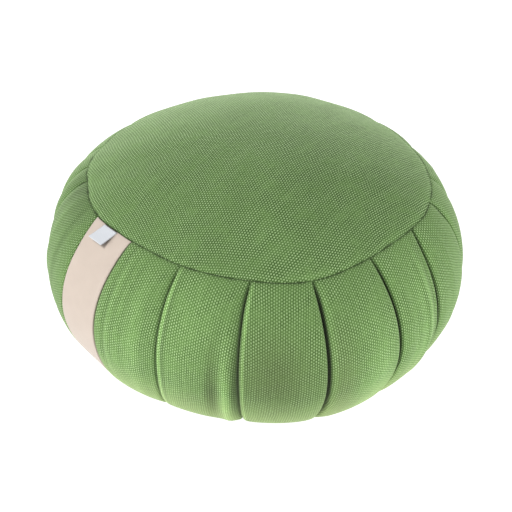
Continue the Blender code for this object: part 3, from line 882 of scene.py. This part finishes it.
def weaveHeight(tree, turn):
    cloth = addNode(tree, "ShaderNodeUVMap", {"uv_map": "cloth"}).outputs["UV"]
    # the yarns wander sideways, so the columns aren't quite straight
    drift = addNode(
        tree, "ShaderNodeTexNoise", Vector=cloth, Scale=canvas["wanderPerMetre"], Detail=2.0
    )
    centred = addNode(
        tree, "ShaderNodeVectorMath", {"operation": "SUBTRACT"},
        i0=drift.outputs["Color"], i1=(0.5,) * 3,
    )
    small = addNode(
        tree, "ShaderNodeVectorMath", {"operation": "SCALE"},
        i0=centred.outputs[0], Scale=canvas["wander"] * 4,
    )
    moved = addNode(
        tree, "ShaderNodeVectorMath", {"operation": "ADD"}, i0=cloth, i1=small.outputs[0]
    )
    yarns = addNode(
        tree,
        "ShaderNodeMapping",
        {"vector_type": "TEXTURE"},
        Vector=moved.outputs[0],
        Rotation=(0, 0, math.radians(turn)),
        Scale=(canvas["warpPitch"] / math.pi, canvas["weftPitch"] / math.pi, 1),
    )
    parts = addNode(tree, "ShaderNodeSeparateXYZ", Vector=yarns.outputs[0])
    warp = addNode(tree, "ShaderNodeMath", {"operation": "COSINE"}, i0=parts.outputs["X"])
    weft = addNode(tree, "ShaderNodeMath", {"operation": "COSINE"}, i0=parts.outputs["Y"])
    floats = addNode(
        tree, "ShaderNodeMath", {"operation": "MULTIPLY"}, i0=warp.outputs[0], i1=weft.outputs[0]
    )
    ridge = addNode(
        tree, "ShaderNodeMath", {"operation": "MULTIPLY"}, i0=warp.outputs[0], i1=warp.outputs[0]
    )
    # the warp's long ridges and its floats together, from 0 to 1
    both = addNode(
        tree, "ShaderNodeMath", {"operation": "MULTIPLY_ADD"}, i0=ridge.outputs[0], i1=0.52, i2=0.09
    )
    height = addNode(
        tree, "ShaderNodeMath", {"operation": "MULTIPLY_ADD"},
        i0=floats.outputs[0], i1=0.38, i2=both.outputs[0],
    )
    return cloth, height.outputs[0]


def canvasMaterial(name, turn, contrast):
    material, tree, shader = newMaterial(
        name,
        Roughness=canvas["roughness"],
        IOR=1.45,
        Sheen_Weight=canvas["sheen"],
        Sheen_Roughness=0.45,
        Sheen_Tint=linear(canvas["sheenTint"]),
        Specular_IOR_Level=0.25,
    )
    cloth, height = weaveHeight(tree, turn)
    fibres = addNode(
        tree, "ShaderNodeTexNoise",
        Vector=cloth, Scale=canvas["fibresPerMetre"], Detail=3.0, Roughness=0.6,
    )
    slubs = addNode(
        tree, "ShaderNodeTexNoise",
        Vector=cloth, Scale=canvas["slubsPerMetre"], Detail=3.0, Roughness=0.65,
    )
    broad = addNode(
        tree, "ShaderNodeTexNoise", Vector=cloth, Scale=canvas["broadPerMetre"], Detail=2.0
    )
    # some patches of the weave stand out more than others, and single warp yarns run darker
    patches = addNode(
        tree, "ShaderNodeTexNoise",
        Vector=cloth, Scale=canvas["patchesPerMetre"], Detail=3.0, Roughness=0.7,
    )
    relief = addNode(
        tree, "ShaderNodeMapRange", Value=patches.outputs["Fac"],
        From_Min=0.35, From_Max=0.65, To_Min=0.55 * contrast, To_Max=1.15 * contrast,
    )
    level = canvas["middleHeight"]
    centred = addNode(tree, "ShaderNodeMath", {"operation": "SUBTRACT"}, i0=height, i1=level)
    scaled = addNode(
        tree, "ShaderNodeMath", {"operation": "MULTIPLY_ADD"},
        i0=centred.outputs[0], i1=relief.outputs[0], i2=level,
    )
    alongWarp = addNode(
        tree, "ShaderNodeMapping", {"vector_type": "TEXTURE"}, Vector=cloth,
        Rotation=(0, 0, math.radians(turn)),
        Scale=(canvas["warpPitch"], canvas["streakLength"], 1),
    )
    streaks = addNode(
        tree, "ShaderNodeTexNoise", Vector=alongWarp.outputs[0], Scale=1.0, Detail=2.0
    )
    streaky = addNode(
        tree, "ShaderNodeMath", {"operation": "MULTIPLY_ADD"},
        i0=streaks.outputs["Fac"], i1=canvas["streaky"], i2=scaled.outputs[0],
    )
    ragged = addNode(
        tree, "ShaderNodeMath", {"operation": "MULTIPLY_ADD"},
        i0=fibres.outputs["Fac"], i1=canvas["fibrous"], i2=streaky.outputs[0],
    )
    slubby = addNode(
        tree, "ShaderNodeMath", {"operation": "MULTIPLY_ADD"},
        i0=slubs.outputs["Fac"], i1=canvas["slubby"], i2=ragged.outputs[0],
    )
    # half of each noise is taken off again, as its values lie round a half
    noisy = (canvas["streaky"] + canvas["fibrous"] + canvas["slubby"]) / 2
    shade = addNode(
        tree, "ShaderNodeMath", {"operation": "SUBTRACT"}, i0=slubby.outputs[0], i1=noisy
    )
    # painted shade in the grooves of the weave and a painted highlight on its floats
    colours = addNode(tree, "ShaderNodeValToRGB", Fac=shade.outputs[0])
    ramp = colours.color_ramp
    ramp.elements[0].color = linear(canvas["groove"])
    ramp.elements[1].color = linear(canvas["float"])
    ramp.elements.new(0.45).color = linear(canvas["middle"])
    brightness = addNode(
        tree, "ShaderNodeMapRange", Value=broad.outputs["Fac"],
        From_Min=0.3, From_Max=0.7, To_Min=0.94, To_Max=1.06,
    )
    tinted = addNode(
        tree, "ShaderNodeVectorMath", {"operation": "SCALE"},
        i0=colours.outputs["Color"], Scale=brightness.outputs[0],
    )
    # the dust colour is mixed in first, partly as dust and partly as painted light, and the painted
    # light and shade in tone then scale what is there
    tone = addNode(tree, "ShaderNodeAttribute", {"attribute_name": "tone"})
    dust = addNode(tree, "ShaderNodeAttribute", {"attribute_name": "dust"})
    withDustAndPaintedLight = addNode(
        tree, "ShaderNodeMix", {"data_type": "RGBA"}, i0=dust.outputs["Fac"],
        i6=tinted.outputs[0], i7=linear(canvas["dust"]),
    )
    toned = addNode(
        tree, "ShaderNodeVectorMath", {"operation": "SCALE"},
        i0=withDustAndPaintedLight.outputs[2], Scale=tone.outputs["Fac"],
    )
    tree.links.new(toned.outputs[0], shader.inputs["Base Color"])
    bump = addNode(
        tree, "ShaderNodeBump", Height=ragged.outputs[0],
        Strength=canvas["bumpStrength"], Distance=canvas["bumpDepth"],
    )
    tree.links.new(bump.outputs[0], shader.inputs["Normal"])
    return material


# Undyed cotton twill: smooth, warm off-white and matt, its fine yarns only just showing.
naturalCotton = {
    "colour": "#D2C3B6",
    "shade": "#C8B9AC",
    "yarnPitch": 0.0009,
    "twillTurn": 45,
    "mottlesPerMetre": 60.0,
    "roughness": 0.85,
    "bumpDepth": 0.0002,
}


def cottonMaterial():
    material, tree, shader = newMaterial(
        "undyed cotton twill, smooth", Roughness=naturalCotton["roughness"], IOR=1.45,
        Sheen_Weight=0.2, Sheen_Roughness=0.5, Specular_IOR_Level=0.25,
    )
    cloth = addNode(tree, "ShaderNodeUVMap", {"uv_map": "cloth"}).outputs["UV"]
    # the yarns would be some 0.4 mm apart (a guess), too fine to show, so they are drawn wider
    yarns = addNode(
        tree, "ShaderNodeMapping", {"vector_type": "TEXTURE"}, Vector=cloth,
        Rotation=(0, 0, math.radians(naturalCotton["twillTurn"])),
        Scale=(naturalCotton["yarnPitch"],) * 3,
    )
    wave = addNode(
        tree, "ShaderNodeTexWave", {"wave_profile": "SIN"}, Vector=yarns.outputs[0],
        Scale=0.32, Distortion=0.6, Detail=2.0,
    )
    mottles = addNode(
        tree, "ShaderNodeTexNoise",
        Vector=cloth, Scale=naturalCotton["mottlesPerMetre"], Detail=4.0,
    )
    mixed = addNode(
        tree, "ShaderNodeMath", {"operation": "MULTIPLY_ADD"},
        i0=wave.outputs["Fac"], i1=0.35, i2=mottles.outputs["Fac"],
    )
    colours = addNode(tree, "ShaderNodeValToRGB", Fac=mixed.outputs[0])
    colours.color_ramp.elements[0].position = 0.25
    colours.color_ramp.elements[0].color = linear(naturalCotton["shade"])
    colours.color_ramp.elements[1].color = linear(naturalCotton["colour"])
    # tone: darker towards the bottom, and the painted shadow under the tab
    tone = addNode(tree, "ShaderNodeAttribute", {"attribute_name": "tone"})
    toned = addNode(
        tree, "ShaderNodeVectorMath", {"operation": "SCALE"},
        i0=colours.outputs["Color"], Scale=tone.outputs["Fac"],
    )
    tree.links.new(toned.outputs[0], shader.inputs["Base Color"])
    bump = addNode(
        tree, "ShaderNodeBump", Height=wave.outputs["Fac"],
        Strength=0.15, Distance=naturalCotton["bumpDepth"],
    )
    tree.links.new(bump.outputs[0], shader.inputs["Normal"])
    return material


# Woven polyester satin ribbon: cool white with a faint gloss and fine ribs across.
satinRibbon = {
    "colour": "#DEE1E5",
    "shade": "#C8CDD4",
    "ribPitch": 0.0008,
    "roughness": 0.45,
    "bumpDepth": 0.0001,
}
waveLength = 0.314  # of a wave texture at scale 1


def ribbonMaterial():
    material, tree, shader = newMaterial(
        "polyester satin ribbon, woven", Roughness=satinRibbon["roughness"], IOR=1.5,
        Sheen_Weight=0.1, Specular_IOR_Level=0.4,
    )
    cloth = addNode(tree, "ShaderNodeUVMap", {"uv_map": "cloth"}).outputs["UV"]
    ribs = addNode(
        tree, "ShaderNodeTexWave", {"bands_direction": "Y", "wave_profile": "SIN"}, Vector=cloth,
        Scale=waveLength / satinRibbon["ribPitch"], Distortion=0.0,
    )
    colours = addNode(tree, "ShaderNodeValToRGB", Fac=ribs.outputs["Fac"])
    colours.color_ramp.elements[0].color = linear(satinRibbon["shade"])
    colours.color_ramp.elements[1].color = linear(satinRibbon["colour"])
    tree.links.new(colours.outputs["Color"], shader.inputs["Base Color"])
    bump = addNode(
        tree, "ShaderNodeBump", Height=ribs.outputs["Fac"],
        Strength=0.2, Distance=satinRibbon["bumpDepth"],
    )
    tree.links.new(bump.outputs[0], shader.inputs["Normal"])
    return material


sideCloth = canvasMaterial("green cotton canvas, side", canvas["sideTurn"], canvas["sideContrast"])
topCloth = canvasMaterial("green cotton canvas, top", canvas["topTurn"], canvas["topContrast"])
baseCloth = canvasMaterial("green cotton canvas, base", canvas["baseTurn"], canvas["sideContrast"])

side = buildSide(sideCloth)
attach(side, "root")
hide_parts("side_band")
print("pleated side built:", len(side.data.polygons), "faces")

topPanel = buildRoundPanel("crown_panel", crown, roundPanels["topShares"], topCloth)
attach(topPanel, "root")
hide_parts("top_panel")
basePanel = buildRoundPanel("base_panel", floorCurve, roundPanels["baseShares"], baseCloth)
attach(basePanel, "root")
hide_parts("bottom_panel")
print("round panels built")

strip = buildStrip(cottonMaterial())
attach(strip, "root")
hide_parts("contrast_strip")

tab = buildTab(ribbonMaterial())
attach(tab, "root")
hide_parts("label_tab")
print("strip and ribbon tab built")

# Floor, light and camera. Elevation, aim and lens are fitted to the photo. So were the softboxes'
# powers, which were then rounded and adjusted.
studio = {
    "floorColour": "#9A9A9A",
    "floorGlow": 0.95,
    "floorSize": 30.0,
    "tent": 0.4,
    "elevation": math.radians(36.84),
    "distance": 1.2,
    "aim": (0.0004, 0.0, 0.0651),
    "lens": 94.35,
    "sensor": 36,
}

# Softboxes at both sides and behind, round a white tent: where each stands (degrees round from
# the front, degrees up, metres away), its width and height in metres, and its power in watts.
Softbox = namedtuple("Softbox", "name azimuth elevation away width height power")
softboxes = (
    Softbox("left", -90, 12, 1.5, 0.9, 0.6, 8.0),
    Softbox("high left", -50, 42, 1.5, 0.9, 0.9, 8.0),
    Softbox("right", 80, 12, 1.5, 0.9, 0.6, 8.0),
    Softbox("high right", 50, 42, 1.5, 0.9, 0.9, 2.0),
    Softbox("behind", 180, 14, 1.6, 1.4, 0.6, 21.0),
    Softbox("front", 0, 12, 1.5, 0.8, 0.5, 3.0),
)

bpy.ops.object.select_all(action="DESELECT")
bpy.ops.mesh.primitive_plane_add(size=studio["floorSize"], location=(0, 0, 0))
floor = bpy.context.object
floor.name = "floor"
floorMaterial, _, floorShader = newMaterial("glowing white studio floor", Roughness=1.0)
floorShader.inputs["Base Color"].default_value = linear(studio["floorColour"])
floorShader.inputs["Emission Color"].default_value = (1, 1, 1, 1)
floorShader.inputs["Emission Strength"].default_value = studio["floorGlow"]
floor.data.materials.append(floorMaterial)

world = bpy.data.worlds.new("white tent")
world.use_nodes = True
backgroundNode = world.node_tree.nodes["Background"]
backgroundNode.inputs["Color"].default_value = (1, 1, 1, 1)
backgroundNode.inputs["Strength"].default_value = studio["tent"]
bpy.context.scene.world = world

for box in softboxes:
    lamp = bpy.data.lights.new(box.name, "AREA")
    lamp.shape = "RECTANGLE"
    lamp.size, lamp.size_y = box.width, box.height
    lamp.energy = box.power
    lampObject = bpy.data.objects.new(box.name, lamp)
    turn, lift = math.radians(box.azimuth), math.radians(box.elevation)
    level = math.cos(lift)
    towards = Vector((level * math.sin(turn), -level * math.cos(turn), math.sin(lift)))
    lampObject.location = towards * box.away
    lampObject.rotation_euler = (-towards).to_track_quat("-Z", "Y").to_euler()
    lampObject.visible_camera = False
    bpy.context.scene.collection.objects.link(lampObject)

back = Vector((0, -math.cos(studio["elevation"]), math.sin(studio["elevation"])))
cameraData = bpy.data.cameras.new("camera")
cameraData.lens = studio["lens"]
cameraData.sensor_width = studio["sensor"]
cameraObject = bpy.data.objects.new("camera", cameraData)
cameraObject.location = Vector(studio["aim"]) + back * studio["distance"]
cameraObject.rotation_euler = (-back).to_track_quat("-Z", "Y").to_euler()
bpy.context.scene.collection.objects.link(cameraObject)
bpy.context.scene.camera = cameraObject
bpy.context.scene.view_settings.view_transform = "Standard"
print("stage, light and camera set")
